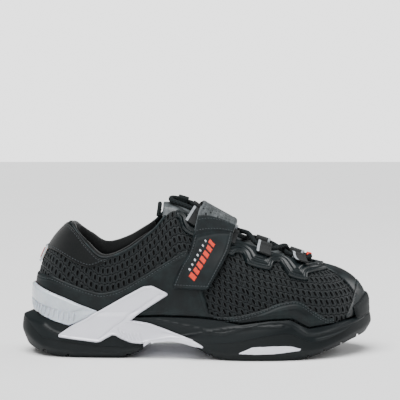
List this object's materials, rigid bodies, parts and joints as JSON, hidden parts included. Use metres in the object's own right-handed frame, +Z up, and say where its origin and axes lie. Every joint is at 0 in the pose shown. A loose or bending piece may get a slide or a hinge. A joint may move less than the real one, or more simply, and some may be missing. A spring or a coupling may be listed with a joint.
{
  "type": "court shoe",
  "caption": "Low-cut right court shoe with a mesh upper, moulded lace loops, an instep strap that peels open, a heel clip and a crossed shank over a split rubber sole.",
  "frame": {"origin": "on the floor, under the middle of the shoe's box", "axes": "+X from heel to toe, +Y to the medial side (this is a right shoe), +Z up"},
  "size_m": [0.2999, 0.1123, 0.1342],
  "materials": {
    "sole_rubber": "moulded rubber, satin, fine flow texture",
    "midsole_foam": "painted moulded foam",
    "silver_tpu": "pearl silver moulded plastic",
    "clear_tpu": "milky clear moulded plastic with ribs",
    "board": "stiffened fibre board",
    "insole_foam": "cloth topped foam",
    "air_mesh": "open knitted spacer mesh",
    "overlay": "smooth synthetic leather",
    "moulded_stay": "moulded synthetic leather",
    "lining": "brushed textile over foam",
    "piping": "thin synthetic binding",
    "tongue_cover": "soft synthetic leather over foam",
    "loop_webbing": "flat woven webbing with a grey stripe",
    "lace_cord": "round braided cord",
    "strap_cover": "perforated synthetic leather",
    "badge_print": "moulded badge with raised bars",
    "hook_and_loop": "hook and loop tape"
  },
  "bodies": {
    "shoe": {"outsole_heel": "sole_rubber", "outsole_forefoot": "sole_rubber", "toe_bumper": "sole_rubber", "midsole": "midsole_foam", "shank_plate": "silver_tpu", "window_insert_lateral": "silver_tpu", "window_insert_medial": "silver_tpu", "heel_clip": "clear_tpu", "lasting_board": "board", "heel_counter": "board", "toe_puff": "board", "insole": "insole_foam", "quarter_mesh_lateral": "air_mesh", "quarter_mesh_medial": "air_mesh", "vamp_mesh": "air_mesh", "saddle_lateral": "overlay", "saddle_medial": "overlay", "rand_lateral": "overlay", "rand_medial": "overlay", "toe_cap": "overlay", "vamp_top": "overlay", "collar_panel": "overlay", "heel_tab": "overlay", "eyestay_lateral": "moulded_stay", "eyestay_medial": "moulded_stay", "vamp_bar": "moulded_stay", "collar_foam": "lining", "collar_piping": "piping", "tongue_binding": "piping", "tongue": "tongue_cover", "tongue_keeper": "tongue_cover", "lace_loop_lateral_1": "loop_webbing", "lace_loop_lateral_2": "loop_webbing", "lace_loop_lateral_3": "loop_webbing", "lace_loop_lateral_4": "loop_webbing", "lace_loop_medial_1": "loop_webbing", "lace_loop_medial_2": "loop_webbing", "lace_loop_medial_3": "loop_webbing", "lace_loop_medial_4": "loop_webbing", "lace": "lace_cord", "strap_anchor": "strap_cover", "strap_loop_pad": "hook_and_loop"},
    "strap": {"strap_band": "strap_cover", "strap_badge": "badge_print", "strap_hook_pad": "hook_and_loop"}
  },
  "joints": [
    {"name": "strap_peel", "type": "hinge", "parent": "shoe", "child": "strap", "pos_m": [0.0082, 0.04085, 0.0784], "axis": [-0.9911, -0.114, 0.068], "range_deg": [0, 105]}
  ]
}
